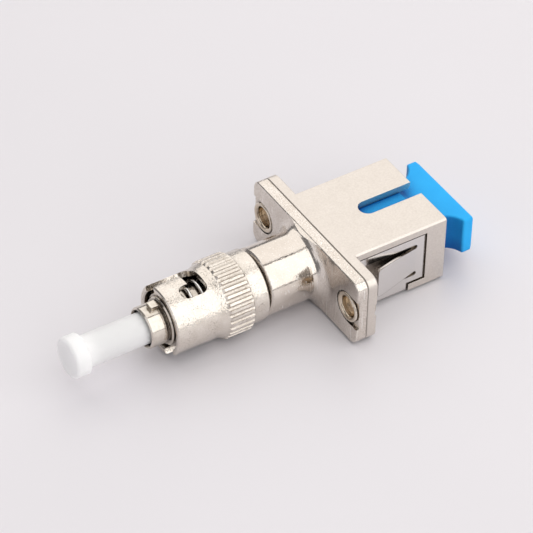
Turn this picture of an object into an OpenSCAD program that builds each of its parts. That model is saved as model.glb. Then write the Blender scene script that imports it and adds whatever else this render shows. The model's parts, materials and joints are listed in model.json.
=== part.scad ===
// Hybrid fibre adapter: a bayonet plug on one side of a flange, a square push-pull port on the other.
// Both dust caps are fitted. X runs along the light path, towards the square port; Z is up.
// The origin lies on the light path, in the rear face of the flange, which sits against the panel.

/* [Flange] */
// Height of the flange and of the port housing
flange_h = 9; // [8.9:0.1:9.6]
// Corner radius of the flange
flange_corner_r = 1.2; // [0.6:0.1:1.8]
// Thickness of the flange plate on the barrel casting
front_plate_t = 1.4; // [1.2:0.1:2]
// Thickness of the flange plate on the port casting
rear_plate_t = 1.3; // [1.3:0.1:2]
// Space between the side of the port housing and a rivet's rim
rivet_gap = 0.65; // [0.5:0.05:0.8]
// Metal between a rivet's rim and the end of the flange
rivet_edge = 0.2; // [0.15:0.05:0.5]
// Chamfer on the edges of both flange plates
plate_edge = 0.1; // [0.05:0.01:0.15]

/* [Eyelets] */
// Bore of each hollow rivet
eyelet_bore_d = 2.6; // [2.2:0.1:2.6]
// Wall of the rivet's shank
eyelet_wall = 0.3; // [0.2:0.05:0.3]
// Diameter of the flared rim at the front
eyelet_rim_d = 3.8; // [3.8:0.1:4]
// Diameter of the flat head at the rear
eyelet_head_d = 3.7; // [3.5:0.1:3.8]
// Depth of the recess under each end of a rivet
eyelet_seat = 0.3; // [0.25:0.05:0.4]
// Free space round the rivet's rim
eyelet_space = 0.17; // [0.1:0.01:0.2]
// How far the rim stands out of the flange's front face
eyelet_proud = 0.05; // [0.02:0.01:0.1]

/* [Barrel] */
// Diameter of the barrel
barrel_d = 8.27; // [8.1:0.01:8.5]
// Length of the barrel, from its front end to the flange
barrel_l = 7; // [6.8:0.1:9]
// Radius of the blend between barrel and flange
barrel_blend_r = 1.6; // [1:0.1:1.8]
// Thickness of the wall at the front end of the barrel
barrel_front_wall = 2.2; // [1.8:0.1:2.4]
// Wall round the barrel
barrel_wall = 0.83; // [0.7:0.01:0.9]
// Chamfer on the front end of the barrel
barrel_chamfer = 0.3; // [0.1:0.05:0.5]

/* [Port housing] */
// Width of the port housing
housing_w = 12.7; // [12.5:0.1:13.2]
// Length of the port housing behind the flange
housing_l = 12.47; // [12.3:0.01:14]
// Width of the port
port_w = 9.2; // [9.1:0.05:9.4]
// Height of the port
port_h = 7.2; // [7.1:0.05:7.4]
// Chamfer round the mouth of the port
port_chamfer = 0.25; // [0.1:0.05:0.3]
// Width of the keyway in the roof
keyway_w = 2.28; // [2.1:0.02:2.6]
// Length of the keyway, from the mouth to its round end
keyway_l = 7.8; // [7:0.1:8.2]
// Chamfer on the long edges of the housing
housing_edge = 0.2; // [0.1:0.05:0.3]

/* [Panel clip] */
// Thickness of the spring steel
clip_t = 0.3; // [0.25:0.05:0.35]
// Free space between the clip and the recess round it
clip_space = 0.05; // [0.03:0.01:0.1]
// Length of the side plates
clip_l = 9.15; // [8.8:0.05:9.3]
// Length of the strap that joins them under the housing
clip_strap_l = 6.9; // [6.5:0.1:7.2]
// Height of the side plates above the light path
clip_top = 3.35; // [3.2:0.05:3.5]
// Depth of the side plates below the light path, behind the strap
clip_drop = 3.1; // [3:0.05:3.3]
// Distance of the clip from the flange
clip_start = 0.4; // [0.3:0.05:0.6]
// Margin between the recess and the edge of the side plates
clip_margin = 0.3; // [0.15:0.05:0.35]
// Outside radius of the two folds
clip_fold_r = 0.6; // [0.5:0.05:0.8]
// Width of a locking tongue at its root
tongue_root_w = 3.5; // [3.2:0.1:3.6]
// Width of a locking tongue near its free end
tongue_end_w = 4.1; // [3.8:0.1:4.3]
// Height of the window that the tongue is cut from
tongue_window_h = 4.6; // [4.5:0.1:5]
// Distance from the flange to the free end of the tongue
tongue_start = 2.4; // [2.2:0.1:3]
// How far the free end stands out
tongue_lift = 1.34; // [1:0.02:1.5]
// Distance from the flange to the tongue's root
tongue_root = 8.3; // [8:0.1:8.5]
// Radius of the relief holes beside the root
relief_r = 0.27; // [0.2:0.01:0.3]

/* [Bayonet nut] */
// Space between the barrel and the nut
nut_gap = 0.3; // [0.2:0.05:0.5]
// Diameter of the smooth front sleeve
sleeve_d = 8.45; // [8.3:0.05:8.6]
// Length of the front sleeve
sleeve_l = 6.57; // [6.4:0.01:7]
// Diameter over the grip
grip_d = 9.48; // [9.3:0.02:9.8]
// Length of the grip
grip_l = 3.29; // [3:0.01:3.6]
// Diameter of the smooth band behind the grip
band_d = 8.68; // [8.5:0.02:8.9]
// Length of that band
band_l = 2.17; // [2.1:0.01:2.4]
// Number of flutes in the grip
flute_count = 33; // [28:1:36]
// Depth of a flute
flute_depth = 0.24; // [0.15:0.01:0.3]
// Radius of the tool that cuts a flute
flute_tool_r = 0.3; // [0.25:0.01:0.35]
// Bore of the nut
nut_bore_d = 7.1; // [7:0.02:7.2]
// Depth of the round recess at the rear of the nut
nut_recess = 1.4; // [1.35:0.05:1.5]
// Diameter of that recess
nut_recess_d = 7.2; // [7:0.05:7.4]
// Thickness of the web that runs on the plug body
nut_web_t = 1; // [0.8:0.05:1.2]

/* [Bayonet slots] */
// Width of a lug slot
slot_w = 2.06; // [1.9:0.02:2.2]
// Direction of a slot, in degrees from the top
slot_angle = 34; // [32:1:37]
// Distance from the front rim to the centre of the slot's round end
slot_l = 3.85; // [3.6:0.05:4]
// Distance from the front rim to the rear edge of the turning window
window_rear = 5.38; // [5.3:0.02:5.5]
// Distance from the front rim to the front edge of the turning window
window_front = 3.45; // [3.3:0.05:3.6]
// Half width of the turning window
window_half_w = 2; // [1.9:0.05:2.1]
// Corner radius of the window
window_corner_r = 0.85; // [0.5:0.05:0.9]
// Width of the latch pocket
pocket_w = 1.76; // [1.6:0.02:1.8]
// Distance from the front rim to the front end of the latch pocket
pocket_front = 2; // [1.8:0.05:2.2]

/* [Plug body] */
// Diameter of the front ring
ring_d = 5; // [4.9:0.02:5.1]
// How far the ring stands out of the nut
ring_out = 2.37; // [2.3:0.01:2.9]
// Length of the ring
ring_l = 1.95; // [1.8:0.01:2.2]
// Bore of the ring
ring_bore_d = 4.2; // [4.1:0.02:4.3]
// Depth of the ring's bore
ring_bore_l = 4.4; // [4:0.1:5]
// Width of the key on the ring
key_w = 1.05; // [0.9:0.05:1.2]
// Length of the key
key_l = 0.95; // [0.8:0.05:1.1]
// Height of the key above the ring
key_h = 0.55; // [0.4:0.05:0.6]
// Diameter of the groove behind the ring
neck_d = 4.6; // [4.5:0.02:4.7]
// Length of that groove
neck_l = 0.45; // [0.3:0.01:0.6]
// Diameter of the step before the shoulder
step_d = 5.8; // [5.6:0.1:6]
// Length of that step
step_l = 0.45; // [0.3:0.05:0.6]
// Diameter of the shoulder that the spring pushes on
shoulder_d = 6.6; // [6.4:0.02:6.8]
// Thickness of that shoulder
shoulder_t = 0.7; // [0.6:0.05:1]
// Diameter of the journal that the nut runs on
journal_d = 5.2; // [5.16:0.02:5.24]
// Bore for the ferrule's collar
collar_bore_d = 3.9; // [3.86:0.02:3.94]
// Thickness of the wall between the two bores
plug_web_t = 1; // [0.8:0.1:1.2]
// Diameter of the collar that seats against the barrel
seat_d = 6.4; // [6.2:0.05:6.6]
// Thickness of the collar that seats against the barrel
seat_t = 0.8; // [0.6:0.05:0.85]

/* [Small rings and spring] */
// Thickness of the two spring washers
washer_t = 0.3; // [0.2:0.05:0.4]
// Thickness of the retaining ring
clip_ring_t = 0.5; // [0.4:0.05:0.5]
// Outside diameter of the retaining ring
clip_ring_d = 6.5; // [6.3:0.05:6.6]
// Depth of the retaining ring's groove
clip_groove = 0.35; // [0.3:0.01:0.4]
// Opening of the retaining ring
clip_ring_gap = 1.6; // [1.2:0.1:2]
// Wire of the spring
wire_d = 0.42; // [0.36:0.02:0.46]
// Turns of the spring
spring_turns = 6.5; // [5.5:0.5:8.5]
// Thickness of the ring nut inside the barrel
lock_t = 1.2; // [1:0.05:1.4]
// Width of the spanner slots in the ring nut
lock_slot_w = 0.8; // [0.6:0.05:1]
// Depth of the spanner slots in the ring nut
lock_slot_depth = 0.5; // [0.3:0.05:0.6]

/* [Light path] */
// Diameter of the ferrule
ferrule_d = 2.5; // [2.48:0.005:2.52]
// How far the ferrule stands out of the ring
ferrule_out = 5.2; // [5:0.1:6]
// Chamfer on each end of the ferrule
ferrule_chamfer = 0.3; // [0.2:0.05:0.4]
// Diameter of the glass fibre
fibre_d = 0.125; // [0.12:0.005:0.13]
// Length of the split sleeve
split_l = 11.4; // [11:0.1:11.6]
// Wall of the split sleeve
split_wall = 0.35; // [0.3:0.01:0.38]
// Slot of the split sleeve
split_slot = 0.5; // [0.3:0.05:0.6]
// Length of the collar on the ferrule
collar_l = 10.8; // [10:0.1:11]

/* [Inner holders] */
// Free space round the split sleeve
sleeve_space = 0.05; // [0.03:0.01:0.07]
// Wall of the tube in the port
tube_wall = 0.75; // [0.6:0.05:0.8]
// Thickness of the latch insert's plate
insert_t = 1; // [0.8:0.05:1.15]
// Width of that plate
insert_w = 10.2; // [10:0.1:10.6]
// Height of that plate
insert_h = 7.6; // [7.5:0.05:7.8]
// Distance from the origin to the tips of the hooks
hook_end = 8.3; // [8:0.1:8.6]
// Thickness of a hook
hook_t = 0.7; // [0.6:0.05:0.75]
// Height of a hook
hook_h = 3.6; // [3.2:0.1:4]
// Distance from the light path to the inner side of a hook
hook_in = 3; // [2.95:0.05:3.05]
// How far a barb reaches inwards
barb_in = 0.55; // [0.4:0.05:0.6]
// Length of a barb
barb_l = 1; // [0.8:0.1:1.2]
// Thickness of the lip that keeps the sleeve in its tube
lip_t = 0.45; // [0.3:0.05:0.6]

/* [Ferrule cap] */
// Diameter of the tube
cap_tube_d = 3.8; // [3.7:0.05:3.9]
// Diameter of the round head
cap_head_d = 4.94; // [4.6:0.02:5.2]
// Length of the head
cap_head_l = 1.9; // [1.4:0.1:2.2]
// Length of the whole cap
cap_l = 10.55; // [10.2:0.05:12]
// How deep the tube sits in the ring
cap_depth = 1; // [0.6:0.1:1.6]
// Rounding of the head
cap_round = 0.4; // [0.2:0.05:0.6]
// Radial running space between cap and ferrule
cap_space = 0.03; // [0.02:0.01:0.06]

/* [Port plug] */
// Free space between the plug and the port
plug_space = 0.1; // [0.07:0.01:0.15]
// Wall of the hollow part
plug_wall = 0.65; // [0.55:0.05:0.65]
// Distance from the origin to the plug's inner end
plug_start = 3.4; // [3:0.1:4]
// Distance from the hollow's floor to the mouth of the port
plug_floor = 2.2; // [2.1:0.05:2.4]
// Distance from the box's outer end to the mouth of the port
plug_end = 0.75; // [0.6:0.05:0.9]
// Distance from the foot of the ramp to the mouth of the port
plug_ramp = 0.35; // [0.3:0.05:0.5]
// Width of the handle
handle_w = 11.88; // [11:0.02:12.6]
// Height of the handle
handle_h = 5; // [4.6:0.1:5.4]
// How far the handle stands out of the port
handle_out = 4.25; // [4.1:0.05:4.8]
// Thickness of the handle at its two ends
handle_end_t = 1.4; // [1.2:0.05:1.6]
// Width of the neck between plug and handle
neck_w = 7.5; // [7:0.1:8]
// Radius of the hollow flanks between neck and handle
flank_r = 2.75; // [2.6:0.05:3]
// Bevel round the handle's outer face
handle_bevel = 0.22; // [0.1:0.02:0.3]

/* [Hidden] */

// Facets of the large round shapes and of the small ones, and steps of a drawn arc
big_fn = 96;
small_fn = 48;
arc_steps = 10;
// Overlap of a cut past the face it starts from
cut = 0.5;

// Running space of the nut and its washer on the journal
run = 0.05;
// Space between the thrust washer and the bore of the nut
ring_space = 0.1;
// Space between the ferrule and the holes it passes without touching
ferrule_space = 0.05;
// Space between two seated parts that do not press on each other
seat_space = 0.02;
// Space round the ring nut and the sleeve holder in the barrel
barrel_space = 0.1;
// Space between the ferrule's collar and the split sleeve
sleeve_gap = 0.6;
// Space round a rivet's head, in a recess that runs out through the end of the flange
head_space = 0.4;
// Flat crest between the two arcs of a rivet's rim
rim_crest = 0.03;
// Space round the latch insert's plate in its pocket
insert_space = 0.05;
// Chamfer that takes the sharpness off a turned edge
edge_break = 0.15;
// Chamfer on the front edge of the grip, and length of the flare before it
grip_chamfer = 0.22;
flare_l = 0.85;
// Small fillet between the cap's head and its tube, and free space before the ferrule's tip
cap_root_r = 0.2;
cap_tip_space = 1.2;
// Lead-in chamfer on the inner end of the port plug
plug_lead = 0.3;
// Width of the clip's frame before the tongue, and length of the join at the tongue's root
tongue_frame = 0.9;
tongue_join = 0.4;
// Corner radius of the tongue, and length of its widest stretch
tongue_corner_r = 0.4;
tongue_wide = 2;
// Sides of the spring's wire, and rings of points in a turn
wire_sides = 8;
coil_steps = 20;

// Places along X, from the flange forwards
x_seam = -rear_plate_t;
x_front = x_seam - front_plate_t;
x_barrel = x_front - barrel_l;
x_barrel_bore = x_barrel + barrel_front_wall;
x_nut_rear = x_barrel - nut_gap;
x_grip_rear = x_nut_rear - band_l;
x_grip_front = x_grip_rear - grip_l;
x_rim = x_grip_front - sleeve_l;
x_ring = x_rim - ring_out;
x_ring_rear = x_ring + ring_l;
x_step = x_ring_rear + neck_l;
x_shoulder = x_step + step_l;
x_shoulder_rear = x_shoulder + shoulder_t;
x_web_rear = x_nut_rear - nut_recess;
x_web_front = x_web_rear - nut_web_t;
x_clip_ring = x_web_rear + run;
x_groove = x_clip_ring - seat_space;
x_groove_end = x_clip_ring + clip_ring_t + seat_space;
x_collar_seat = x_ring + ring_bore_l + plug_web_t;
x_collar_rear = x_collar_seat + collar_l;
x_plug_rear = x_barrel_bore + lock_t;
x_tip = x_ring - ferrule_out;
x_cap_rear = x_ring + cap_depth;
x_cap_front = x_cap_rear - cap_l;
x_cap_head = x_cap_front + cap_head_l;
x_spring = x_shoulder_rear + washer_t + 2 * seat_space;

// Both ferrules meet in the middle of the split sleeve
x_sleeve_front = x_collar_rear + sleeve_gap;
x_sleeve_rear = x_sleeve_front + split_l;
x_meet = x_sleeve_front + split_l / 2;

// Places along X, from the flange rearwards
x_insert_rear = x_seam + insert_t;
x_tube_end = x_sleeve_rear + sleeve_space + lip_t;
x_clip_end = clip_start + clip_l;
x_strap_end = clip_start + clip_strap_l;
x_plug_floor = housing_l - plug_floor;
x_plug_end = housing_l - plug_end;
x_ramp = housing_l - plug_ramp;
x_handle = housing_l + handle_out;

// Radii and half widths that several pieces share
barrel_r = barrel_d / 2;
barrel_bore_r = barrel_r - barrel_wall;
sleeve_r = sleeve_d / 2;
grip_r = grip_d / 2;
band_r = band_d / 2;
nut_bore_r = nut_bore_d / 2;
ring_r = ring_d / 2;
ring_bore_r = ring_bore_d / 2;
step_r = step_d / 2;
shoulder_r = shoulder_d / 2;
journal_r = journal_d / 2;
collar_bore_r = collar_bore_d / 2;
ferrule_r = ferrule_d / 2;
split_r = ferrule_r + split_wall;
holder_bore_r = split_r + sleeve_space;
eyelet_bore_r = eyelet_bore_d / 2;
eyelet_shank_r = eyelet_bore_r + eyelet_wall;
half_w = housing_w / 2;
half_h = flange_h / 2;

// The screw holes lie beside the housing, and the flange ends beyond them
hole_pitch = housing_w + 2 * rivet_gap + eyelet_rim_d;
flange_w = hole_pitch + eyelet_rim_d + 2 * rivet_edge;

// What the clip and the port plug take from the housing
clip_depth = clip_t + clip_space;
plug_half_h = port_h / 2 - plug_space;

// The spring's middle radius, just clear of the journal, and the run of its wire along X
coil_r = journal_r + 4 * run + wire_d / 2;
spring_run = x_web_front - washer_t - 2 * seat_space - x_spring - wire_d;

// Where the handle's hollow flanks start and end
flank_angle = asin((neck_w / 2 + flank_r - handle_w / 2) / flank_r);
x_flank = x_handle - handle_end_t - flank_r * cos(flank_angle);

// Points of an arc from angle a to angle b
function arc(cx, cy, r, a, b, n = arc_steps) =
    [for (i = [0 : n]) let (t = a + (b - a) * i / n) [cx + r * cos(t), cy + r * sin(t)]];

// A block between two corners
module block(x0, x1, y0, y1, z0, z1) {
    translate([x0, y0, z0]) cube([x1 - x0, y1 - y0, z1 - z0]);
}

// A block that is centred on the light path
module centred(x0, x1, w, h) {
    block(x0, x1, -w / 2, w / 2, -h / 2, h / 2);
}

// A round bar along X
module bar(x0, x1, r, fn = big_fn) {
    translate([x0, 0, 0]) rotate([0, 90, 0]) cylinder(h = x1 - x0, r = r, $fn = fn);
}

// A cone along X
module cone(x0, x1, r0, r1, fn = big_fn) {
    translate([x0, 0, 0]) rotate([0, 90, 0]) cylinder(h = x1 - x0, r1 = r0, r2 = r1, $fn = fn);
}

// A turned shape from points [radius, x]
module turned(points, fn = big_fn) {
    rotate([0, 90, 0]) rotate_extrude($fn = fn) polygon(points);
}

// A flat shape drawn in X and Z, as thick as the stretch from y0 to y1
module side_shape(points, y0, y1) {
    translate([0, y1, 0]) rotate([90, 0, 0]) linear_extrude(y1 - y0) polygon(points);
}

// A flat shape drawn in X and Y, as thick as the stretch from z0 to z1
module top_shape(points, z0, z1) {
    translate([0, 0, z0]) linear_extrude(z1 - z0) polygon(points);
}

// A plate's section along X, with its four edges chamfered
function plate_section(x0, x1, reach, c) = [[x0, c - reach], [x0 + c, -reach], [x1 - c, -reach],
    [x1, c - reach], [x1, reach - c], [x1 - c, reach], [x0 + c, reach], [x0, reach - c]];

// A plate along X with round corners and chamfered edges, as two prisms and four turned corners
module round_plate(x0, x1, w, h, r, c) {
    y = w / 2 - r;
    z = h / 2 - r;
    side_shape(plate_section(x0, x1, h / 2, c), -y, y);
    top_shape(plate_section(x0, x1, w / 2, c), -z, z);
    for (side = [-1, 1], end = [-1, 1]) translate([0, side * y, end * z])
        turned([[0, x0], [r - c, x0], [r, x0 + c], [r, x1 - c], [r - c, x1], [0, x1]], small_fn);
}

// A plate along X with chamfered corners
module chamfered_plate(x0, x1, w, h, c) {
    y = w / 2;
    z = h / 2;
    translate([x0, 0, 0]) rotate([90, 0, 90]) linear_extrude(x1 - x0)
        polygon([[-y, -z + c], [-y + c, -z], [y - c, -z], [y, -z + c],
            [y, z - c], [y - c, z], [-y + c, z], [-y, z - c]]);
}

// A block along X whose two lower corners are round
module cradle(x0, x1, w, low, high, r) {
    block(x0, x1, -w / 2, w / 2, low + r, high);
    block(x0, x1, -w / 2 + r, w / 2 - r, low, high);
    for (y = [-1, 1]) translate([0, y * (w / 2 - r), low + r]) bar(x0, x1, r, small_fn);
}

// Both screw hole places
module at_holes() {
    for (side = [-1, 1]) translate([0, side * hole_pitch / 2, 0]) children();
}

// Barrel and front flange plate, one casting
module front_shell() {
    color([0.80, 0.77, 0.73]) difference() {
        union() {
            round_plate(x_front, x_seam, flange_w, flange_h, flange_corner_r, plate_edge);
            intersection() {
                turned(barrel_profile());
                centred(x_barrel - cut, x_front + cut, flange_w, flange_h);
            }
        }
        bar(x_barrel - cut, x_barrel_bore + cut, journal_r);
        bar(x_barrel_bore, x_seam + cut, barrel_bore_r);
        at_holes() bar(x_front - cut, x_seam + cut, eyelet_shank_r, small_fn);
        for (side = [-1, 1]) translate([0, side * hole_pitch / 2, 0]) spot_face(side);
    }
}

function barrel_profile() = concat(
    [[0, x_barrel], [barrel_r - barrel_chamfer, x_barrel], [barrel_r, x_barrel + barrel_chamfer]],
    arc(barrel_r + barrel_blend_r, x_front - barrel_blend_r, barrel_blend_r, 180, 90),
    [[0, x_front]]);

// The recess round a rivet's rim runs out through the end of the flange
module spot_face(side) {
    r = eyelet_rim_d / 2 + eyelet_space;
    reach = side * (flange_w / 2 - hole_pitch / 2 + cut);
    bar(x_front - cut, x_front + eyelet_seat, r, small_fn);
    block(x_front - cut, x_front + eyelet_seat, min(0, reach), max(0, reach), -r, r);
}

// Port housing and rear flange plate, one casting
module rear_shell() {
    color([0.78, 0.75, 0.71]) difference() {
        union() {
            round_plate(x_seam, 0, flange_w, flange_h, flange_corner_r, plate_edge);
            chamfered_plate(x_seam + plate_edge, housing_l, housing_w, flange_h, housing_edge);
        }
        centred(x_insert_rear - cut, housing_l + cut, port_w, port_h);
        centred(x_seam - cut, x_insert_rear, insert_w + 2 * insert_space, insert_h + 2 * insert_space);
        port_mouth();
        keyway();
        clip_recess();
        at_holes() bar(x_seam - cut, cut, eyelet_shank_r, small_fn);
        at_holes() bar(-eyelet_seat, cut, eyelet_head_d / 2 + head_space, small_fn);
    }
}

// The funnel that bevels the four edges of the mouth
module port_mouth() {
    skin = 0.01;
    hull() {
        centred(housing_l - port_chamfer, housing_l - port_chamfer + skin, port_w, port_h);
        centred(housing_l + port_chamfer, housing_l + port_chamfer + skin,
            port_w + 4 * port_chamfer, port_h + 4 * port_chamfer);
    }
}

module keyway() {
    r = keyway_w / 2;
    x_round = housing_l - keyway_l + r;
    block(x_round, housing_l + cut, -r, r, 0, half_h + cut);
    translate([x_round, 0, 0]) cylinder(h = half_h + cut, r = r, $fn = small_fn);
}

// Shallow recess for the clip: both sides, and the underside as far as the strap goes
module clip_recess() {
    low = -clip_drop - clip_margin;
    high = clip_top + clip_margin / 2;
    x_side = x_clip_end + clip_margin;
    x_under = x_strap_end + clip_margin;
    difference() {
        union() {
            block(0, x_side, -half_w - cut, half_w + cut, low, high);
            block(0, x_under, -half_w - cut, half_w + cut, -half_h - cut, high);
        }
        cradle(-cut, housing_l, housing_w - 2 * clip_depth, -half_h + clip_depth, half_h,
            clip_fold_r - clip_t);
    }
}

// Hollow rivet, flared in front and flat behind, drawn on the light path
module eyelet() {
    lip = x_front - eyelet_proud;
    rim = eyelet_rim_d / 2;
    under = x_front + eyelet_seat;
    roll = (under - lip) / 2;
    flare = rim - roll - rim_crest - eyelet_bore_r;
    color([0.80, 0.70, 0.48]) turned(concat(
        [[eyelet_bore_r, 0], [eyelet_head_d / 2, 0], [eyelet_head_d / 2, -eyelet_seat],
            [eyelet_shank_r, -eyelet_seat], [eyelet_shank_r, under]],
        arc(rim - roll, lip + roll, roll, 90, -90),
        arc(eyelet_bore_r + flare, lip + flare, flare, 270, 180)), small_fn);
}

module left_eyelet() {
    translate([0, hole_pitch / 2, 0]) eyelet();
}

module right_eyelet() {
    translate([0, -hole_pitch / 2, 0]) eyelet();
}

// Spring steel saddle: two side plates, a strap under the housing, and a bent tongue on each side
module panel_clip() {
    outer_w = housing_w - 2 * clip_space;
    outer_low = -half_h + clip_space;
    color([0.78, 0.78, 0.77]) union() {
        difference() {
            cradle(clip_start, x_clip_end, outer_w, outer_low, clip_top, clip_fold_r);
            cradle(clip_start - cut, x_clip_end + cut, outer_w - 2 * clip_t, outer_low + clip_t,
                clip_top + cut, clip_fold_r - clip_t);
            block(x_strap_end, x_clip_end + cut, -housing_w, housing_w, -flange_h, -clip_drop);
            for (z = [-1, 1]) translate([tongue_root, 0, z * (tongue_root_w / 2 + relief_r)])
                rotate([90, 0, 0]) cylinder(h = 2 * housing_w, r = relief_r, center = true, $fn = 24);
            block(tongue_start - tongue_frame, tongue_root, -housing_w, housing_w,
                -tongue_window_h / 2, tongue_window_h / 2);
        }
        tongue();
        mirror([0, 1, 0]) tongue();
    }
}

// The tongue's strip, bent outwards, cut to its outline with round corners
module tongue() {
    y_in = half_w - clip_depth;
    y_out = half_w - clip_space;
    r = tongue_corner_r;
    half_root = tongue_root_w / 2;
    half_end = tongue_end_w / 2;
    x_wide = tongue_start + tongue_wide;
    intersection() {
        top_shape([[tongue_root + tongue_join, y_in], [tongue_root, y_in],
            [tongue_start, y_in + tongue_lift], [tongue_start, y_out + tongue_lift],
            [tongue_root, y_out], [tongue_root + tongue_join, y_out]],
            -housing_w, housing_w);
        side_shape(concat(
            [[tongue_root + tongue_join, half_root], [tongue_root, half_root], [x_wide, half_end]],
            arc(tongue_start + r, half_end - r, r, 90, 180),
            arc(tongue_start + r, -half_end + r, r, 180, 270),
            [[x_wide, -half_end], [tongue_root, -half_root], [tongue_root + tongue_join, -half_root]]),
            0, housing_w);
    }
}

// Plate, sleeve tube and two hooks that latch a square plug, one moulding
module latch_insert() {
    tube_r = holder_bore_r + tube_wall;
    x_lip = x_sleeve_rear + sleeve_space;
    pass_r = ferrule_r + ferrule_space;
    color([0.88, 0.90, 0.86]) difference() {
        union() {
            centred(x_seam, x_insert_rear, insert_w, insert_h);
            bar(x_seam, x_tube_end, tube_r);
            hook();
            mirror([0, 1, 0]) hook();
        }
        bar(x_seam - cut, x_lip, holder_bore_r);
        bar(x_lip - cut, x_tube_end + cut, pass_r);
        cone(x_tube_end - lip_t / 2, x_tube_end + lip_t / 2, pass_r, pass_r + lip_t);
    }
}

module hook() {
    top_shape([[x_seam, hook_in], [hook_end - barb_l, hook_in], [hook_end - barb_l, hook_in - barb_in],
        [hook_end - barb_l / 2, hook_in - barb_in], [hook_end, hook_in + hook_t / 3],
        [hook_end, hook_in + hook_t], [x_seam, hook_in + hook_t]], -hook_h / 2, hook_h / 2);
}

// Bush in the barrel that holds the front half of the split sleeve
module sleeve_holder() {
    color([0.86, 0.88, 0.84]) difference() {
        union() {
            bar(x_collar_rear + seat_space, x_seam, collar_bore_r - run);
            bar(max(x_plug_rear, x_collar_rear) + seat_space, x_seam, barrel_bore_r - barrel_space);
        }
        bar(x_collar_rear - cut, x_seam + cut, holder_bore_r);
    }
}

module split_sleeve() {
    color([0.95, 0.94, 0.90]) difference() {
        bar(x_sleeve_front, x_sleeve_rear, split_r);
        bar(x_sleeve_front - cut, x_sleeve_rear + cut, ferrule_r);
        block(x_sleeve_front - cut, x_sleeve_rear + cut, -split_slot / 2, split_slot / 2, 0, split_r + cut);
    }
}

module ferrule() {
    core = fibre_d / 2;
    c = ferrule_chamfer;
    color([0.96, 0.95, 0.92]) turned([[core, x_tip], [ferrule_r - c, x_tip], [ferrule_r, x_tip + c],
        [ferrule_r, x_meet - c], [ferrule_r - c, x_meet], [core, x_meet]]);
}

module fibre() {
    color([0.85, 0.90, 0.92]) bar(x_tip, x_meet, fibre_d / 2, 24);
}

// Metal tube that the ferrule is pressed into
module ferrule_collar() {
    r = collar_bore_r - run;
    color([0.80, 0.78, 0.74]) turned([[ferrule_r, x_collar_seat], [r - edge_break, x_collar_seat],
        [r, x_collar_seat + edge_break], [r, x_collar_rear - edge_break],
        [r - edge_break, x_collar_rear], [ferrule_r, x_collar_rear]]);
}

// Turned body of the bayonet plug: keyed ring, spring shoulder, journal, seat and spigot
module plug_body() {
    groove_r = journal_r - clip_groove;
    e = edge_break;
    color([0.80, 0.77, 0.72]) difference() {
        union() {
            turned([[0, x_ring], [ring_r - e, x_ring], [ring_r, x_ring + e],
                [ring_r, x_ring_rear], [neck_d / 2, x_ring_rear], [neck_d / 2, x_step],
                [step_r - e, x_step], [step_r, x_step + e], [step_r, x_shoulder],
                [shoulder_r - e, x_shoulder], [shoulder_r, x_shoulder + e],
                [shoulder_r, x_shoulder_rear], [journal_r, x_shoulder_rear],
                [journal_r, x_groove], [groove_r, x_groove], [groove_r, x_groove_end],
                [journal_r, x_groove_end], [journal_r, x_barrel - seat_t],
                [seat_d / 2, x_barrel - seat_t], [seat_d / 2, x_barrel],
                [journal_r, x_barrel], [journal_r, x_plug_rear], [0, x_plug_rear]]);
            block(x_ring_rear - key_l, x_ring_rear, -key_w / 2, key_w / 2, ring_bore_r, ring_r + key_h);
        }
        bar(x_ring - cut, x_ring + ring_bore_l, ring_bore_r);
        bar(x_ring, x_plug_rear, ferrule_r + ferrule_space);
        bar(x_collar_seat, x_plug_rear + cut, collar_bore_r);
        cone(x_ring - e, x_ring + e, ring_bore_r + 2 * e, ring_bore_r);
    }
}

// Ring nut that locks the plug body in the barrel, with two spanner slots
module lock_ring() {
    r = barrel_bore_r - barrel_space;
    color([0.72, 0.66, 0.50]) difference() {
        bar(x_barrel_bore, x_plug_rear, r);
        bar(x_barrel_bore - cut, x_plug_rear + cut, journal_r);
        block(x_plug_rear - lock_slot_depth, x_plug_rear + cut, -r, r, -lock_slot_w / 2, lock_slot_w / 2);
    }
}

// A flat ring that slides on the journal
module washer(x0, r) {
    difference() {
        bar(x0, x0 + washer_t, r);
        bar(x0 - cut, x0 + washer_t + cut, journal_r + run);
    }
}

module spring_seat_washer() {
    color([0.70, 0.70, 0.72]) washer(x_shoulder_rear + seat_space, shoulder_r);
}

module thrust_washer() {
    color([0.70, 0.70, 0.72]) washer(x_web_front - seat_space - washer_t, nut_bore_r - ring_space);
}

// Open ring that snaps into its groove behind the nut's web
module retaining_ring() {
    inner = journal_r - clip_groove + seat_space;
    color([0.66, 0.67, 0.70]) difference() {
        bar(x_clip_ring, x_clip_ring + clip_ring_t, clip_ring_d / 2);
        bar(x_clip_ring - cut, x_clip_ring + clip_ring_t + cut, inner);
        block(x_clip_ring - cut, x_clip_ring + clip_ring_t + cut, -clip_ring_gap / 2, clip_ring_gap / 2,
            -clip_ring_d, 0);
    }
}

// Place along X of the spring's wire after a number of turns; the end turns lie closed
function coil_x(t) = x_spring + wire_d / 2 + (
    t < 1 ? t * wire_d :
    t > spring_turns - 1 ? spring_run - (spring_turns - t) * wire_d :
    wire_d + (t - 1) * (spring_run - 2 * wire_d) / (spring_turns - 2));

// One ring of points round the wire after a number of turns
function coil_ring(t) = [for (i = [0 : wire_sides - 1])
    let (a = 360 * t, b = 360 * i / wire_sides, r = coil_r + wire_d / 2 * cos(b))
    [coil_x(t) + wire_d / 2 * sin(b), r * sin(a), r * cos(a)]];

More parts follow.
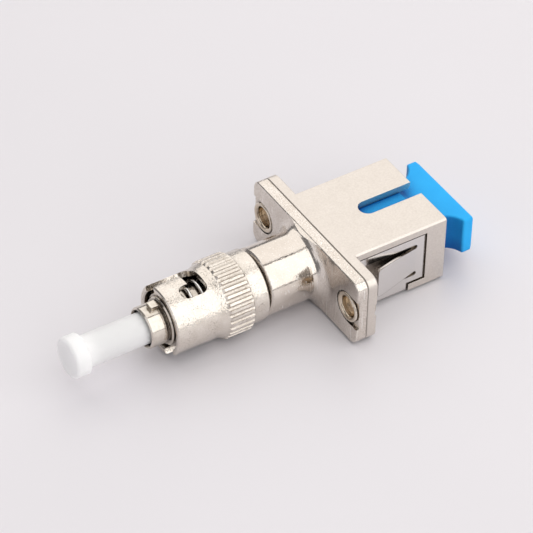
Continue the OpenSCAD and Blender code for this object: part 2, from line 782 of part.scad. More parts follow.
module nut_spring() {
    n = round(spring_turns * coil_steps);
    s = wire_sides;
    points = [for (k = [0 : n]) each coil_ring(k / coil_steps)];
    sides = [for (k = [0 : n - 1], i = [0 : s - 1])
        [k * s + i, (k + 1) * s + i, (k + 1) * s + (i + 1) % s, k * s + (i + 1) % s]];
    first = [for (i = [0 : s - 1]) i];
    last = [for (i = [s - 1 : -1 : 0]) n * s + i];
    color([0.62, 0.63, 0.66]) polyhedron(points, concat(sides, [first], [last]), convexity = 10);
}

// Bayonet nut: slotted sleeve, fluted grip, smooth band, and a web that runs on the journal
module coupling_nut() {
    e = edge_break;
    color([0.80, 0.77, 0.72]) difference() {
        turned([[0, x_rim], [sleeve_r - e, x_rim], [sleeve_r, x_rim + e],
            [sleeve_r, x_grip_front - flare_l], [grip_r - flute_depth + seat_space, x_grip_front],
            [grip_r - grip_chamfer, x_grip_front], [grip_r, x_grip_front + grip_chamfer],
            [grip_r, x_grip_rear - e], [grip_r - e, x_grip_rear], [band_r, x_grip_rear],
            [band_r, x_nut_rear - e], [band_r - e, x_nut_rear], [0, x_nut_rear]]);
        bar(x_rim - cut, x_web_front, nut_bore_r);
        bar(x_web_front - cut, x_web_rear + cut, journal_r + run);
        bar(x_web_rear, x_nut_rear + cut, nut_recess_d / 2);
        cone(x_rim - e, x_rim + e, nut_bore_r + 2 * e, nut_bore_r);
        for (turn = [0, 180]) rotate([turn, 0, 0]) {
            lug_slot();
            turning_window();
        }
        for (i = [0 : flute_count - 1]) rotate([360 * i / flute_count, 0, 0]) flute();
    }
}

module flute() {
    translate([0, 0, grip_r - flute_depth + flute_tool_r])
        bar(x_grip_front - cut, x_grip_rear + cut, flute_tool_r, 24);
}

// Straight slot from the rim, with a round end, cut from outside towards the light path
module lug_slot() {
    x_round = x_rim + slot_l;
    rotate([-slot_angle, 0, 0]) {
        block(x_rim - cut, x_round, -slot_w / 2, slot_w / 2, 0, sleeve_d);
        translate([x_round, 0, 0]) cylinder(h = sleeve_d, r = slot_w / 2, $fn = small_fn);
    }
}

// The window that a lug turns through, and the pocket that it springs forward into
module turning_window() {
    r = window_corner_r;
    w = window_half_w;
    x0 = x_rim + window_front;
    x1 = x_rim + window_rear;
    x_pocket = x_rim + pocket_front + pocket_w / 2;
    block(x0, x1 - r, -w, w, 0, sleeve_d);
    block(x0, x1, -w + r, w - r, 0, sleeve_d);
    for (y = [-1, 1]) translate([x1 - r, y * (w - r), 0]) cylinder(h = sleeve_d, r = r, $fn = small_fn);
    block(x_pocket, x1 - r, -w, -w + pocket_w, 0, sleeve_d);
    translate([x_pocket, -w + pocket_w / 2, 0]) cylinder(h = sleeve_d, r = pocket_w / 2, $fn = small_fn);
}

// White dust cap on the ferrule: a round head and a tube that reaches into the ring
module ferrule_cap() {
    head_r = cap_head_d / 2;
    tube_r = cap_tube_d / 2;
    e = edge_break;
    color([0.97, 0.96, 0.97]) difference() {
        turned(concat([[0, x_cap_front]],
            arc(head_r - cap_round, x_cap_front + cap_round, cap_round, 270, 360),
            [[head_r, x_cap_head - e], [head_r - e, x_cap_head]],
            arc(tube_r + cap_root_r, x_cap_head + cap_root_r, cap_root_r, 270, 180, 5),
            [[tube_r, x_cap_rear - e], [tube_r - e, x_cap_rear], [0, x_cap_rear]]));
        bar(x_tip - cap_tip_space, x_cap_rear + cut, ferrule_r + cap_space);
    }
}

// Half of the port plug's outline from above, from its inner end to its handle
function plug_outline() = concat(
    [[plug_start, 0], [plug_start, port_w / 2 - plug_space - plug_lead],
        [plug_start + plug_lead, port_w / 2 - plug_space], [x_plug_end, port_w / 2 - plug_space],
        [x_plug_end, neck_w / 2]],
    arc(x_flank, neck_w / 2 + flank_r, flank_r, 270, 360 - flank_angle),
    [[x_handle - handle_bevel, handle_w / 2], [x_handle, handle_w / 2 - handle_bevel], [x_handle, 0]]);

// Half of its outline from the side: deep in the port, shallower at the neck and handle
function plug_side() = concat(
    [[plug_start, 0], [plug_start, plug_half_h - plug_lead], [plug_start + plug_lead, plug_half_h]],
    arc(x_ramp, plug_half_h, plug_half_h - handle_h / 2, 180, 270),
    [[x_handle - handle_bevel, handle_h / 2], [x_handle, handle_h / 2 - handle_bevel], [x_handle, 0]]);

// Points and their mirror image in the long axis, as one closed outline
function both_sides(half) = concat(half, [for (i = [len(half) - 2 : -1 : 1]) [half[i][0], -half[i][1]]]);

// Blue dust plug: a hollow box in the port, a neck and a wide handle, one moulding
module port_plug() {
    inner_w = port_w - 2 * plug_space - 2 * plug_wall;
    inner_h = port_h - 2 * plug_space - 2 * plug_wall;
    color([0.16, 0.58, 0.98]) difference() {
        intersection() {
            top_shape(both_sides(plug_outline()), -flange_h, flange_h);
            side_shape(both_sides(plug_side()), -handle_w, handle_w);
        }
        centred(plug_start - cut, x_plug_floor, inner_w, inner_h);
    }
}

front_shell();
rear_shell();
left_eyelet();
right_eyelet();
panel_clip();
latch_insert();
sleeve_holder();
split_sleeve();
ferrule();
fibre();
ferrule_collar();
plug_body();
lock_ring();
spring_seat_washer();
nut_spring();
thrust_washer();
retaining_ring();
coupling_nut();
ferrule_cap();
port_plug();
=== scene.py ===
# %% [markdown]
# # Dressing a small metal adapter
# The CAD model gives every piece of this fibre adapter its true shape and place. This script gives the pieces
# their finishes, adds a few details that are too fine for the CAD model, and sets up a studio like the one in
# which such a product is photographed. Nothing of the CAD model is moved or changed on the way.

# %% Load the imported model
import json
import math

import bmesh
import bpy
from mathutils import Matrix, Vector


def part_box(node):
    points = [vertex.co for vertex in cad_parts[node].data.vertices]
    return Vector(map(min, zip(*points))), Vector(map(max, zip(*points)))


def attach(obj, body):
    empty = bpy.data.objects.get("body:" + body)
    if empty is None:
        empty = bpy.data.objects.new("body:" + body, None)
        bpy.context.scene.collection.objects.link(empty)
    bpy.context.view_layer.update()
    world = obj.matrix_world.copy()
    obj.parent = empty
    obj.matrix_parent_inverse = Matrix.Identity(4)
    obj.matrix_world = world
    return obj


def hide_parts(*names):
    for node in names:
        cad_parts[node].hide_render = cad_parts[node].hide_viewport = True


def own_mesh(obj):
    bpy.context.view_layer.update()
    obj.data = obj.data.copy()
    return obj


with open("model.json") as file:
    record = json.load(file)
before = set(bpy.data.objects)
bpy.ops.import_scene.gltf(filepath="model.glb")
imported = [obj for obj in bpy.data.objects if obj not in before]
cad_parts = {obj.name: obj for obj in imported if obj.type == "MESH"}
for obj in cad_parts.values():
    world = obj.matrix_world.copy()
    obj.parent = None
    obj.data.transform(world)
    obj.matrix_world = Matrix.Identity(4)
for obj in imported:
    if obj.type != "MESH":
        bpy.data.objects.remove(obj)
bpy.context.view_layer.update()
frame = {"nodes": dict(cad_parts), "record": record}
nodes = frame["nodes"]
MM = 0.001

# %% [markdown]
# ## The camera
# The photograph was taken from far away through a long lens: the edges of the flange stay almost parallel. The
# camera was found by matching about sixty points of the real piece to their places in the picture. It stands
# about 38 cm off, 42 degrees above the table, and looks at the part from the front left. Its lens is so long
# that the whole part fits in a view of nine degrees.

# %% Place the camera
AZIMUTH, ELEVATION, ROLL = math.radians(-33.298), math.radians(42.005), math.radians(1.520)
DISTANCE = 383.299 * MM
SHIFT_RIGHT, SHIFT_UP = 6.606 * MM, 1.475 * MM
FOCAL_PIXELS, IMAGE_PIXELS, SENSOR = 3335.647, 533, 36


def camera_axes(azimuth, elevation, roll):
    """Right, up and back of a camera that looks at the origin."""
    back = Vector((math.sin(azimuth) * math.cos(elevation), -math.cos(azimuth) * math.cos(elevation),
                   math.sin(elevation)))
    right = (-back).cross(Vector((0, 0, 1))).normalized()
    up = right.cross(-back)
    return (math.cos(roll) * right + math.sin(roll) * up, math.cos(roll) * up - math.sin(roll) * right, back)


right, up, back = camera_axes(AZIMUTH, ELEVATION, ROLL)
camera = bpy.data.objects.new("camera", bpy.data.cameras.new("camera"))
bpy.context.scene.collection.objects.link(camera)
camera.data.sensor_width = SENSOR
camera.data.lens = SENSOR * FOCAL_PIXELS / IMAGE_PIXELS
camera.data.clip_start, camera.data.clip_end = 0.01, 20
camera.matrix_world = Matrix.Translation(DISTANCE * back - SHIFT_RIGHT * right - SHIFT_UP * up) @ Matrix(
    (right, up, back)).transposed().to_4x4()
bpy.context.scene.camera = camera
print("lens in mm:", round(camera.data.lens, 1), "camera at:", [round(c, 3) for c in camera.location])

# %% [markdown]
# ## The studio
# Shiny metal shows its surroundings more than its own colour, so the lights decide how it looks. The barrel in
# the photograph shows one thin dark line along its top with wide bright zones on both sides: two softboxes arch
# over the table almost down to it, and a narrow dark strip parts them straight above the part. The table is a
# pale sheet that the nut touches. A sheet that reflects two thirds of the light is bright enough, because the
# boxes are brighter than white.

# %% Lights and table
TABLE_Z = -4.74 * MM


def panel(name, place, side, outward, width, height, radiance, tint):
    """A softbox at a place in metres, as wide as told along its side, that shines against outward."""
    light = bpy.data.lights.new(name, "AREA")
    light.shape, light.size, light.size_y = "RECTANGLE", width, height
    light.energy = radiance * math.pi * width * height
    light.color = tint
    lamp = bpy.data.objects.new(name, light)
    bpy.context.scene.collection.objects.link(lamp)
    lamp.matrix_world = Matrix.Translation(place) @ Matrix(
        (side, outward.cross(side), outward)).transposed().to_4x4()
    lamp.visible_camera = False


def long_light(name, low, high, distance, radiance, tint):
    """A softbox along the X axis that faces it and covers these angles of the YZ plane, in degrees."""
    middle, half = math.radians((low + high) / 2), math.radians((high - low) / 2)
    outward = Vector((0, math.cos(middle), math.sin(middle)))
    panel(name, distance * outward + Vector((STUDIO_MIDDLE, 0, 0)), Vector((1, 0, 0)), outward,
          STUDIO_LENGTH, 2 * distance * math.tan(half), radiance, tint)


STUDIO_MIDDLE, STUDIO_LENGTH = 0.25, 1.0
long_light("back_light", 12, 92.5, 0.50, 1.08, (1.0, 0.975, 0.94))
long_light("front_light", 97, 177, 0.56, 1.42, (1.0, 0.985, 0.965))
FILL_DISTANCE, FILL_HEIGHT = 0.45, 0.16
panel("end_fill", Vector((-FILL_DISTANCE, -0.05, FILL_HEIGHT)), Vector((0, 1, 0)), Vector((-1, 0, 0)),
      0.40, 0.30, 0.7, (1.0, 0.98, 1.0))

world = bpy.data.worlds.new("studio")
world.use_nodes = True
world.node_tree.nodes["Background"].inputs["Color"].default_value = (0.93, 0.92, 0.95, 1)
world.node_tree.nodes["Background"].inputs["Strength"].default_value = 0.26
bpy.context.scene.world = world
bpy.context.scene.view_settings.view_transform = "Standard"

sheet = bmesh.new()
bmesh.ops.create_grid(sheet, x_segments=1, y_segments=1, size=3)
table_mesh = bpy.data.meshes.new("table")
sheet.to_mesh(table_mesh)
sheet.free()
table = bpy.data.objects.new("table", table_mesh)
bpy.context.scene.collection.objects.link(table)
table.location.z = TABLE_Z

# The dark strip between the lights, seen by the metal but never by the camera
STRIP_DISTANCE, STRIP_WIDTH = 0.44, 0.030
strip_mesh = bpy.data.meshes.new("dark_strip")
strip_middle = Vector((0, math.cos(math.radians(94.7)), math.sin(math.radians(94.7)))) * STRIP_DISTANCE
strip_mesh.from_pydata([strip_middle + Vector((x, y, 0)) for x, y in (
    (STUDIO_MIDDLE - STUDIO_LENGTH / 2, -STRIP_WIDTH / 2), (STUDIO_MIDDLE + STUDIO_LENGTH / 2, -STRIP_WIDTH / 2),
    (STUDIO_MIDDLE + STUDIO_LENGTH / 2, STRIP_WIDTH / 2), (STUDIO_MIDDLE - STUDIO_LENGTH / 2, STRIP_WIDTH / 2))], [], [(0, 1, 2, 3)])
strip = bpy.data.objects.new("dark_strip", strip_mesh)
bpy.context.scene.collection.objects.link(strip)
strip.visible_camera = False
print("table at z in mm:", round(TABLE_Z / MM, 2))

# %% [markdown]
# ## Building blocks for the finishes
# Every finish below is a small tree of nodes that works on the piece's own coordinates, in metres, so a grain of
# a tenth of a millimetre is a tenth of a millimetre on every piece. Four helpers cover most of it: a noise of a
# given size, a range that turns it into roughness, a bump, and an edge softener. The last one rounds the shading
# of sharp edges, because no real casting or stamping has a perfectly sharp one.

# %% Helpers for the node trees


def finish_tree(name, roughness, metallic=0.0):
    """A new material with one principled shader; returns the material, its tree and the shader."""
    material = bpy.data.materials.new(name)
    material.use_nodes = True
    shader = material.node_tree.nodes["Principled BSDF"]
    shader.inputs["Metallic"].default_value = metallic
    shader.inputs["Roughness"].default_value = roughness
    return material, material.node_tree, shader


def grain(tree, size_mm, detail=2.0, stretch=(1, 1, 1)):
    """Noise whose spots are about size_mm wide, stretched along the axes if asked."""
    place = tree.nodes.new("ShaderNodeTexCoord")
    mapping = tree.nodes.new("ShaderNodeMapping")
    mapping.inputs["Scale"].default_value = [1 / s for s in stretch]
    noise = tree.nodes.new("ShaderNodeTexNoise")
    noise.inputs["Scale"].default_value = 1 / (size_mm * MM)
    noise.inputs["Detail"].default_value = detail
    tree.links.new(place.outputs["Object"], mapping.inputs["Vector"])
    tree.links.new(mapping.outputs["Vector"], noise.inputs["Vector"])
    return noise.outputs["Fac"]


def tool_rings(tree, pitch_mm):
    """Fine rings round the X axis, as a lathe tool leaves them."""
    place = tree.nodes.new("ShaderNodeTexCoord")
    rings = tree.nodes.new("ShaderNodeTexWave")
    rings.bands_direction = "X"
    rings.inputs["Scale"].default_value = 1 / (pitch_mm * MM) / 20 * math.pi
    rings.inputs["Distortion"].default_value = 0.6
    tree.links.new(place.outputs["Object"], rings.inputs["Vector"])
    return rings.outputs["Fac"]


def radius_mm(tree, side_mm=0.0):
    """Distance from the X axis in mm, or from the two axes this far beside it."""
    place = tree.nodes.new("ShaderNodeTexCoord")
    split = tree.nodes.new("ShaderNodeSeparateXYZ")
    tree.links.new(place.outputs["Object"], split.inputs[0])
    beside = tree.nodes.new("ShaderNodeMath")
    beside.operation = "ABSOLUTE"
    tree.links.new(split.outputs["Y"], beside.inputs[0])
    across = tree.nodes.new("ShaderNodeMath")
    across.operation = "SUBTRACT"
    across.inputs[1].default_value = side_mm * MM
    tree.links.new(beside.outputs[0], across.inputs[0])
    joined = tree.nodes.new("ShaderNodeCombineXYZ")
    tree.links.new(across.outputs[0], joined.inputs["Y"])
    tree.links.new(split.outputs["Z"], joined.inputs["Z"])
    length = tree.nodes.new("ShaderNodeVectorMath")
    length.operation = "LENGTH"
    tree.links.new(joined.outputs[0], length.inputs[0])
    scaled = tree.nodes.new("ShaderNodeMath")
    scaled.operation = "DIVIDE"
    scaled.inputs[1].default_value = MM
    tree.links.new(length.outputs["Value"], scaled.inputs[0])
    return scaled.outputs[0]


def spread(tree, value, low, high, start=0.3, end=0.7):
    """Turns a noise value into a number between low and high."""
    remap = tree.nodes.new("ShaderNodeMapRange")
    for socket, number in (("From Min", start), ("From Max", end), ("To Min", low), ("To Max", high)):
        remap.inputs[socket].default_value = number
    tree.links.new(value, remap.inputs["Value"])
    return remap.outputs["Result"]


def tinted(tree, shader, value, first, second, shade_tone=None, reach_mm=0.5):
    """Base colour between two tones, by a noise value; the third tone is painted shade, laid into narrow hollows
    out to reach_mm.
    """
    mix = tree.nodes.new("ShaderNodeMix")
    mix.data_type = "RGBA"
    mix.inputs[6].default_value = (*first, 1)
    mix.inputs[7].default_value = (*second, 1)
    tree.links.new(value, mix.inputs[0])
    colour = mix.outputs[2]
    if shade_tone:
        # Painted shade: ambient occlusion darkens the base colour where the surface is hemmed in.
        hollow = tree.nodes.new("ShaderNodeAmbientOcclusion")
        hollow.samples = 8
        hollow.inputs["Distance"].default_value = reach_mm * MM
        painted_shade = tree.nodes.new("ShaderNodeMix")
        painted_shade.data_type = "RGBA"
        painted_shade.inputs[6].default_value = (*shade_tone, 1)
        tree.links.new(spread(tree, hollow.outputs["AO"], 0, 1, 0.42, 0.92), painted_shade.inputs[0])
        tree.links.new(colour, painted_shade.inputs[7])
        colour = painted_shade.outputs[2]
    tree.links.new(colour, shader.inputs["Base Color"])


def relief(tree, shader, layers, edge_mm):
    """Softened edges, and on them one bump layer after another: (value, depth in mm, strength)."""
    soft = tree.nodes.new("ShaderNodeBevel")
    soft.samples = 4
    soft.inputs["Radius"].default_value = edge_mm * MM
    normal = soft.outputs["Normal"]
    for value, depth_mm, strength in layers:
        bump = tree.nodes.new("ShaderNodeBump")
        bump.inputs["Distance"].default_value = depth_mm * MM
        bump.inputs["Strength"].default_value = strength
        tree.links.new(value, bump.inputs["Height"])
        tree.links.new(normal, bump.inputs["Normal"])
        normal = bump.outputs["Normal"]
    tree.links.new(normal, shader.inputs["Normal"])


def product(tree, *values):
    """Multiplies values of the tree with each other."""
    result = values[0]
    for value in values[1:]:
        times = tree.nodes.new("ShaderNodeMath")
        times.operation = "MULTIPLY"
        tree.links.new(result, times.inputs[0])
        tree.links.new(value, times.inputs[1])
        result = times.outputs[0]
    return result


def over(tree, shader, amount, tone):
    """Lays a tone over the base colour, as much as the amount says."""
    mix = tree.nodes.new("ShaderNodeMix")
    mix.data_type = "RGBA"
    mix.inputs[7].default_value = (*tone, 1)
    tree.links.new(amount, mix.inputs[0])
    tree.links.new(shader.inputs["Base Color"].links[0].from_socket, mix.inputs[6])
    tree.links.new(mix.outputs[2], shader.inputs["Base Color"])


def specks(tree, size_mm, start, most=0.8):
    """Small spots here and there: fewer as the start grows from 0.5 to 0.8."""
    return spread(tree, grain(tree, size_mm, 3), 0, most, start, start + 0.05)


def edges(tree, edge_mm):
    """One on the edges of a piece, this wide, and zero on its faces."""
    soft = tree.nodes.new("ShaderNodeBevel")
    soft.samples = 4
    soft.inputs["Radius"].default_value = edge_mm * MM
    face = tree.nodes.new("ShaderNodeNewGeometry")
    agree = tree.nodes.new("ShaderNodeVectorMath")
    agree.operation = "DOT_PRODUCT"
    tree.links.new(soft.outputs["Normal"], agree.inputs[0])
    tree.links.new(face.outputs["Normal"], agree.inputs[1])
    return spread(tree, agree.outputs["Value"], 1, 0, 0.80, 0.99)


def wear_and_glint(tree, shader, edge_mm, bright, nicks):
    """Lightens the edges of a piece, partly as rubbed wear and partly as a painted highlight, and leaves dark nicks
    on them; fewer nicks as the last value grows.
    """
    edge = edges(tree, edge_mm)
    # Lighter edges: partly rubbed wear, partly a painted highlight; the dark nicks below are wear.
    over(tree, shader, edge, bright)
    over(tree, shader, product(tree, edge, specks(tree, 0.45, nicks)), SHADE_AND_NICK_TONE)


# A dark tone, used as painted shade in narrow hollows and for the dark nicks on worn edges.
SHADE_AND_NICK_TONE = (0.075, 0.058, 0.045)
finishes = {}
print("helpers ready")

# %% [markdown]
# ## Nickel on zinc: the two castings
# Both plates are die castings under nickel, which is a little warmer than steel. The housing was blasted before
# plating, so its tops and sides are satin with a grain as fine as powder. The front plate and its barrel were
# polished: they mirror the softboxes, and only a slight orange peel and a few pits betray the casting.

# %% Satin and bright nickel
BARREL_RADIUS = 4.14
KEYWAY_REACH = 2.0 * MM
DARK_SPECK, LIGHT_SPECK = (0.26, 0.215, 0.17), (0.95, 0.92, 0.88)

material, tree, shader = finish_tree("satin_nickel", 0.40, metallic=1.0)
fine, cloud = grain(tree, 0.2, 4), grain(tree, 1.6, 2)
# Painted shade: the last tone darkens narrow hollows, seams and the recess round the clip.
tinted(tree, shader, spread(tree, fine, 0, 1), (0.66, 0.605, 0.55), (0.74, 0.685, 0.63), (0.20, 0.17, 0.14), 0.5)
hollow = tree.nodes.new("ShaderNodeAmbientOcclusion")
hollow.samples = 8
hollow.inputs["Distance"].default_value = KEYWAY_REACH
satin = product(tree, spread(tree, cloud, 0.33, 0.42), spread(tree, hollow.outputs["AO"], 0.70, 1, 0.45, 0.85))
tree.links.new(satin, shader.inputs["Roughness"])
relief(tree, shader, [(fine, 0.012, 0.5)], 0.06)
wear_and_glint(tree, shader, 0.10, (0.80, 0.75, 0.69), 0.66)
finishes["satin_nickel"] = material

material, tree, shader = finish_tree("bright_nickel", 0.12, metallic=1.0)
peel, pits, cloud = grain(tree, 0.8, 2), grain(tree, 0.22, 3), grain(tree, 2.4, 2)
# Painted shade: the last tone darkens the seam between the plates and other narrow hollows.
tinted(tree, shader, spread(tree, cloud, 0, 1), (0.66, 0.595, 0.53), (0.74, 0.68, 0.62), SHADE_AND_NICK_TONE, 0.4)
off_barrel = spread(tree, radius_mm(tree), 0.2, 1, BARREL_RADIUS, BARREL_RADIUS + 0.6)
over(tree, shader, product(tree, specks(tree, 0.14, 0.57, 0.38), off_barrel), DARK_SPECK)
over(tree, shader, product(tree, specks(tree, 0.12, 0.56, 0.45), off_barrel), LIGHT_SPECK)
scratches = spread(tree, grain(tree, 0.16, 1, stretch=(1, 1, 24)), 0, 1, 0.67, 0.71)
over(tree, shader, scratches, LIGHT_SPECK)
dull = spread(tree, radius_mm(tree), 0.11, 0.17, BARREL_RADIUS, BARREL_RADIUS + 0.9)
rough = tree.nodes.new("ShaderNodeMath")
rough.operation = "MULTIPLY_ADD"
rough.inputs[1].default_value = 0.3
tree.links.new(scratches, rough.inputs[0])
tree.links.new(dull, rough.inputs[2])
tree.links.new(rough.outputs[0], shader.inputs["Roughness"])
relief(tree, shader, [(peel, 0.008, 0.25), (pits, 0.012, 0.6)], 0.09)
wear_and_glint(tree, shader, 0.16, (0.86, 0.81, 0.75), 0.54)
finishes["bright_nickel"] = material
print("finishes:", sorted(finishes))

# %% [markdown]
# ## Nickel on brass: nut, plug body and rivets
# The nut was cast and barrel polished, which leaves tiny dimples that show as dark specks wherever the
# reflection changes from light to dark. The plug body and the rivets were turned or pressed from brass and only
# thinly plated: a trace of gold comes through, above all inside the rivets, with the rings of the tool. The deep
# hollows behind the nut's windows get painted shade, so the darkening reaches further here.

# %% Nut, plug body and rivet finishes
material, tree, shader = finish_tree("nut_nickel", 0.16, metallic=1.0)
dimples, cloud = grain(tree, 0.26, 3), grain(tree, 1.2, 2)
# Painted shade: the last tone darkens the hollows behind the windows and between the flutes.
tinted(tree, shader, spread(tree, cloud, 0, 1), (0.68, 0.62, 0.55), (0.77, 0.715, 0.65), (0.19, 0.155, 0.12), 0.9)
tree.links.new(spread(tree, cloud, 0.13, 0.22), shader.inputs["Roughness"])
clusters = spread(tree, grain(tree, 1.8, 1), 0.12, 1, 0.46, 0.60)
over(tree, shader, product(tree, specks(tree, 0.15, 0.58, 0.65), clusters), DARK_SPECK)
over(tree, shader, specks(tree, 0.14, 0.58, 0.4), LIGHT_SPECK)
relief(tree, shader, [(dimples, 0.042, 1.0)], 0.035)
wear_and_glint(tree, shader, 0.07, (0.84, 0.79, 0.73), 0.54)
finishes["nut_nickel"] = material

material, tree, shader = finish_tree("plug_nickel", 0.14, metallic=1.0)
rings, cloud = tool_rings(tree, 0.12), grain(tree, 0.5, 2)
# Painted shade: the last tone darkens the gaps round the ring and the nut.
tinted(tree, shader, spread(tree, cloud, 0, 1), (0.64, 0.58, 0.51), (0.74, 0.69, 0.62), (0.15, 0.12, 0.09), 0.9)
tree.links.new(spread(tree, cloud, 0.10, 0.20), shader.inputs["Roughness"])
relief(tree, shader, [(rings, 0.003, 0.4)], 0.045)
wear_and_glint(tree, shader, 0.07, (0.84, 0.79, 0.73), 0.60)
finishes["plug_nickel"] = material

HOLE_PITCH = 17.8
material, tree, shader = finish_tree("brass", 0.18, metallic=1.0)
rings, cloud = tool_rings(tree, 0.22), grain(tree, 0.6, 2)
# Painted shade: the last tone darkens the deep bore of each rivet.
tinted(tree, shader, spread(tree, radius_mm(tree, HOLE_PITCH / 2), 0, 1, 1.65, 1.88),
       (0.66, 0.57, 0.46), (0.74, 0.68, 0.60), (0.42, 0.34, 0.26), 2.0)
tree.links.new(spread(tree, cloud, 0.12, 0.24), shader.inputs["Roughness"])
relief(tree, shader, [(rings, 0.010, 0.5)], 0.04)
finishes["brass"] = material
print("finishes:", sorted(finishes))

# %% [markdown]
# ## Steel: clip, rings and spring
# Rolled spring steel is brighter and colder than nickel, with fine streaks along the direction in which it was
# rolled. Wire is drawn, so it has hardly any grain at all.

# %% Steel finishes
material, tree, shader = finish_tree("clip_steel", 0.24, metallic=1.0)
streaks = grain(tree, 0.05, 2, stretch=(16, 1, 1))
# Painted shade: the last tone darkens the plate under the lifted tongue and the gaps round the clip.
tinted(tree, shader, spread(tree, streaks, 0, 1), (0.69, 0.66, 0.64), (0.73, 0.705, 0.685), (0.30, 0.26, 0.22), 1.0)
tree.links.new(spread(tree, streaks, 0.14, 0.19), shader.inputs["Roughness"])
relief(tree, shader, [(streaks, 0.0006, 0.3)], 0.03)
# Painted shade: a dark line along every edge of the clip, for the thin shadow gaps round the tongue and the plate.
over(tree, shader, edges(tree, 0.14), (0.16, 0.135, 0.11))
finishes["clip_steel"] = material

material, tree, shader = finish_tree("ring_steel", 0.28, metallic=1.0)
cloud = grain(tree, 0.3, 3)
# Painted shade: the last tone darkens the narrow gaps round the rings.
tinted(tree, shader, spread(tree, cloud, 0, 1), (0.52, 0.51, 0.50), (0.62, 0.61, 0.60), SHADE_AND_NICK_TONE, 0.6)
relief(tree, shader, [(cloud, 0.004, 0.3)], 0.04)
finishes["ring_steel"] = material

material, tree, shader = finish_tree("spring_wire", 0.14, metallic=1.0)
cloud = grain(tree, 0.4, 2)
# Painted shade: the last tone darkens the wire where the coils and the nut hem it in.
tinted(tree, shader, spread(tree, cloud, 0, 1), (0.74, 0.725, 0.70), (0.84, 0.83, 0.81), (0.20, 0.17, 0.14), 0.5)
tree.links.new(spread(tree, cloud, 0.10, 0.18), shader.inputs["Roughness"])
finishes["spring_wire"] = material
print("finishes:", sorted(finishes))

# %% [markdown]
# ## Plastics, ceramic and glass
# Both dust caps are soft mouldings. Light enters the white one and comes out again a little further on, so its
# shaded side stays bright. The blue one is dense, with a broad satin gleam. The ferrule and its sleeve are ground
# zirconia, almost as smooth as glass, and the latch insert is a milky moulding.

# %% Plastic, ceramic and glass finishes
material, tree, shader = finish_tree("white_plastic", 0.42)
cloud, fine = grain(tree, 1.5, 2), grain(tree, 0.08, 2)
tinted(tree, shader, spread(tree, cloud, 0, 1), (0.985, 0.97, 0.98), (0.995, 0.98, 0.99))
shader.inputs["Subsurface Weight"].default_value = 1.0
shader.inputs["Subsurface Radius"].default_value = (1.0, 1.0, 1.0)
shader.inputs["Subsurface Scale"].default_value = 1.6 * MM
relief(tree, shader, [(fine, 0.003, 0.3)], 0.06)
finishes["white_plastic"] = material

material, tree, shader = finish_tree("blue_plastic", 0.38)
cloud, fine = grain(tree, 2.0, 2), grain(tree, 0.07, 2)
# Painted shade: the last tone, a deep blue, darkens the plug near other surfaces, in the keyway slot and under the
# handle.
tinted(tree, shader, spread(tree, cloud, 0, 1), (0.024, 0.44, 0.95), (0.028, 0.47, 0.98), (0.0, 0.075, 0.35), 4.5)
# Painted highlight: a lighter blue along the edges, for the light line on the rounded edges of the handle.
over(tree, shader, edges(tree, 0.30), (0.06, 0.55, 1.0))
tree.links.new(spread(tree, fine, 0.42, 0.52), shader.inputs["Roughness"])
shader.inputs["Specular IOR Level"].default_value = 0.15
relief(tree, shader, [(fine, 0.004, 0.35)], 0.20)
finishes["blue_plastic"] = material

material, tree, shader = finish_tree("ceramic", 0.12)
cloud = grain(tree, 1.0, 2)
tinted(tree, shader, spread(tree, cloud, 0, 1), (0.90, 0.88, 0.84), (0.94, 0.93, 0.90))
relief(tree, shader, [(cloud, 0.002, 0.2)], 0.06)
finishes["ceramic"] = material

material, tree, shader = finish_tree("insert_plastic", 0.45)
cloud = grain(tree, 0.9, 2)
tinted(tree, shader, spread(tree, cloud, 0, 1), (0.78, 0.80, 0.76), (0.86, 0.88, 0.84))
shader.inputs["Subsurface Weight"].default_value = 0.3
shader.inputs["Subsurface Scale"].default_value = 0.5 * MM
relief(tree, shader, [(cloud, 0.004, 0.2)], 0.08)
finishes["insert_plastic"] = material

material, tree, shader = finish_tree("glass_fibre", 0.03)
cloud = grain(tree, 0.5, 1)
tinted(tree, shader, spread(tree, cloud, 0, 1), (0.90, 0.94, 0.95), (0.96, 0.98, 1.0))
shader.inputs["Transmission Weight"].default_value = 0.9
shader.inputs["IOR"].default_value = 1.46
finishes["glass_fibre"] = material

material, tree, shader = finish_tree("table_sheet", 0.34)
cloud = grain(tree, 60, 2)
tinted(tree, shader, spread(tree, cloud, 0, 1), (0.755, 0.735, 0.765), (0.775, 0.755, 0.785))
table.data.materials.append(material)

material, tree, shader = finish_tree("dark_strip", 0.9)
shader.inputs["Base Color"].default_value = (0.01, 0.01, 0.01, 1)
strip.data.materials.append(material)
print("finishes:", sorted(finishes))

# %% [markdown]
# ## Putting the finishes on the CAD pieces
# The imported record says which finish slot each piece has, so the loop reads it from there. A piece keeps its
# mesh, and only its material slot changes.

# %% Dress the CAD pieces
slot_of = {part["node"]: part["material_slot"] for part in frame["record"]["subparts"]}
for name, piece in nodes.items():
    piece.data.materials.clear()
    piece.data.materials.append(finishes[slot_of[name]])
print("dressed:", {name: slot_of[name] for name in sorted(nodes)})

# %% [markdown]
# ## The spring
# The CAD spring has eight flat sides on its wire, which is enough for its size and weight. Seen through the
# window of the nut, the real one is smooth, so it is swept again here with a finer wire along the same helix. The
# real spring shortens when the nut is pulled forwards, while its front end stays in place.

# %% Sweep a smooth spring
spring_low, spring_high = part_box("nut_spring")
WIRE = 0.42 * MM
TURNS, STEPS, SIDES = 6.5, 48, 16
coil_radius = spring_high.z - WIRE / 2
run = spring_high.x - spring_low.x - WIRE


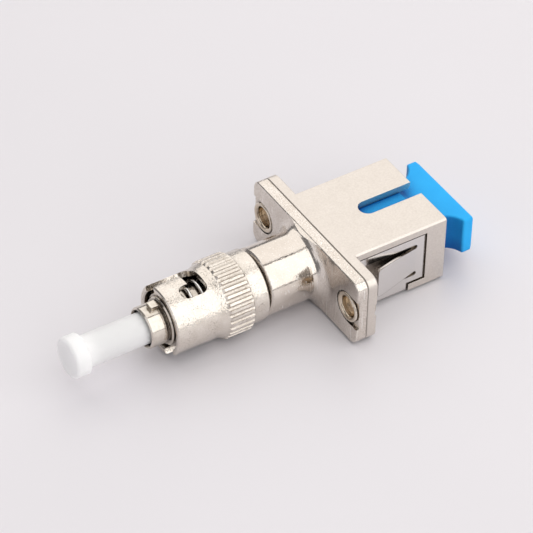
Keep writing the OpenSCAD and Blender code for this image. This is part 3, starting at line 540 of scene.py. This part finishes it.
def helix_x(turn):
    """Place of the wire along X after a number of turns; the end turns lie closed."""
    if turn < 1:
        along = turn * WIRE
    elif turn > TURNS - 1:
        along = run - (TURNS - turn) * WIRE
    else:
        along = WIRE + (turn - 1) * (run - 2 * WIRE) / (TURNS - 2)
    return spring_low.x + WIRE / 2 + along


def wire_ring(builder, turn):
    """One ring of vertices round the wire."""
    angle = 2 * math.pi * turn
    ring = []
    for k in range(SIDES):
        around = 2 * math.pi * k / SIDES
        radius = coil_radius + WIRE / 2 * math.cos(around)
        ring.append(builder.verts.new((helix_x(turn) + WIRE / 2 * math.sin(around),
                                       radius * math.sin(angle), radius * math.cos(angle))))
    return ring


builder = bmesh.new()
rings = [wire_ring(builder, step / STEPS) for step in range(round(TURNS * STEPS) + 1)]
for one, two in zip(rings, rings[1:]):
    for k in range(SIDES):
        builder.faces.new((one[k], two[k], two[(k + 1) % SIDES], one[(k + 1) % SIDES]))
builder.faces.new(rings[0])
builder.faces.new(rings[-1][::-1])
bmesh.ops.recalc_face_normals(builder, faces=builder.faces)
for face in builder.faces:
    face.smooth = True
spring_mesh = bpy.data.meshes.new("smooth_spring")
builder.to_mesh(spring_mesh)
builder.free()
spring = bpy.data.objects.new("smooth_spring", spring_mesh)
bpy.context.scene.collection.objects.link(spring)
spring.data.materials.append(finishes["spring_wire"])
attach(spring, "housing")
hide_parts("nut_spring")
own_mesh(spring)
print("spring faces:", len(spring_mesh.polygons), "length in mm:", round((spring_high.x - spring_low.x) / MM, 2))

# %% [markdown]
# ## The blue dust plug
# The CAD plug has sharp edges, but a moulding never has, and the light line along the real handle's outer edge
# comes from its rounding. A copy of the CAD mesh gets each outward edge that turns by more than sixty degrees
# rounded with three steps, which only takes material away, so it stays inside the solid it stands for. Flat faces
# stay flat-shaded, and the narrow ones of the roundings and of the curved grip are shaded smooth.

# %% Round the edges of the plug
PLUG_EDGE, PLUG_STEPS = 0.22 * MM, 3
SHARP, NARROW = math.radians(60), 0.5 * MM
plug_mesh = nodes["port_plug"].data.copy()
plug_mesh.name = "rounded_plug"
builder = bmesh.new()
builder.from_mesh(plug_mesh)
bmesh.ops.remove_doubles(builder, verts=builder.verts, dist=0.001 * MM)
bmesh.ops.dissolve_limit(builder, angle_limit=math.radians(1), verts=builder.verts, edges=builder.edges)
outward = [edge for edge in builder.edges
           if edge.is_manifold and edge.is_convex and edge.calc_face_angle() > SHARP]
bmesh.ops.bevel(builder, geom=outward, offset=PLUG_EDGE, segments=PLUG_STEPS, profile=0.5,
                affect="EDGES", clamp_overlap=False)
for face in builder.faces:
    face.smooth = 2 * face.calc_area() / face.calc_perimeter() < NARROW
loose = [edge for edge in builder.edges if not edge.is_manifold]
builder.to_mesh(plug_mesh)
builder.free()
plug = bpy.data.objects.new("rounded_plug", plug_mesh)
bpy.context.scene.collection.objects.link(plug)
plug.data.materials.clear()
plug.data.materials.append(finishes[slot_of["port_plug"]])
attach(plug, "dust_plug")
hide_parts("port_plug")
print("plug faces:", len(plug_mesh.polygons), "edges rounded:", len(outward), "open edges:", len(loose))
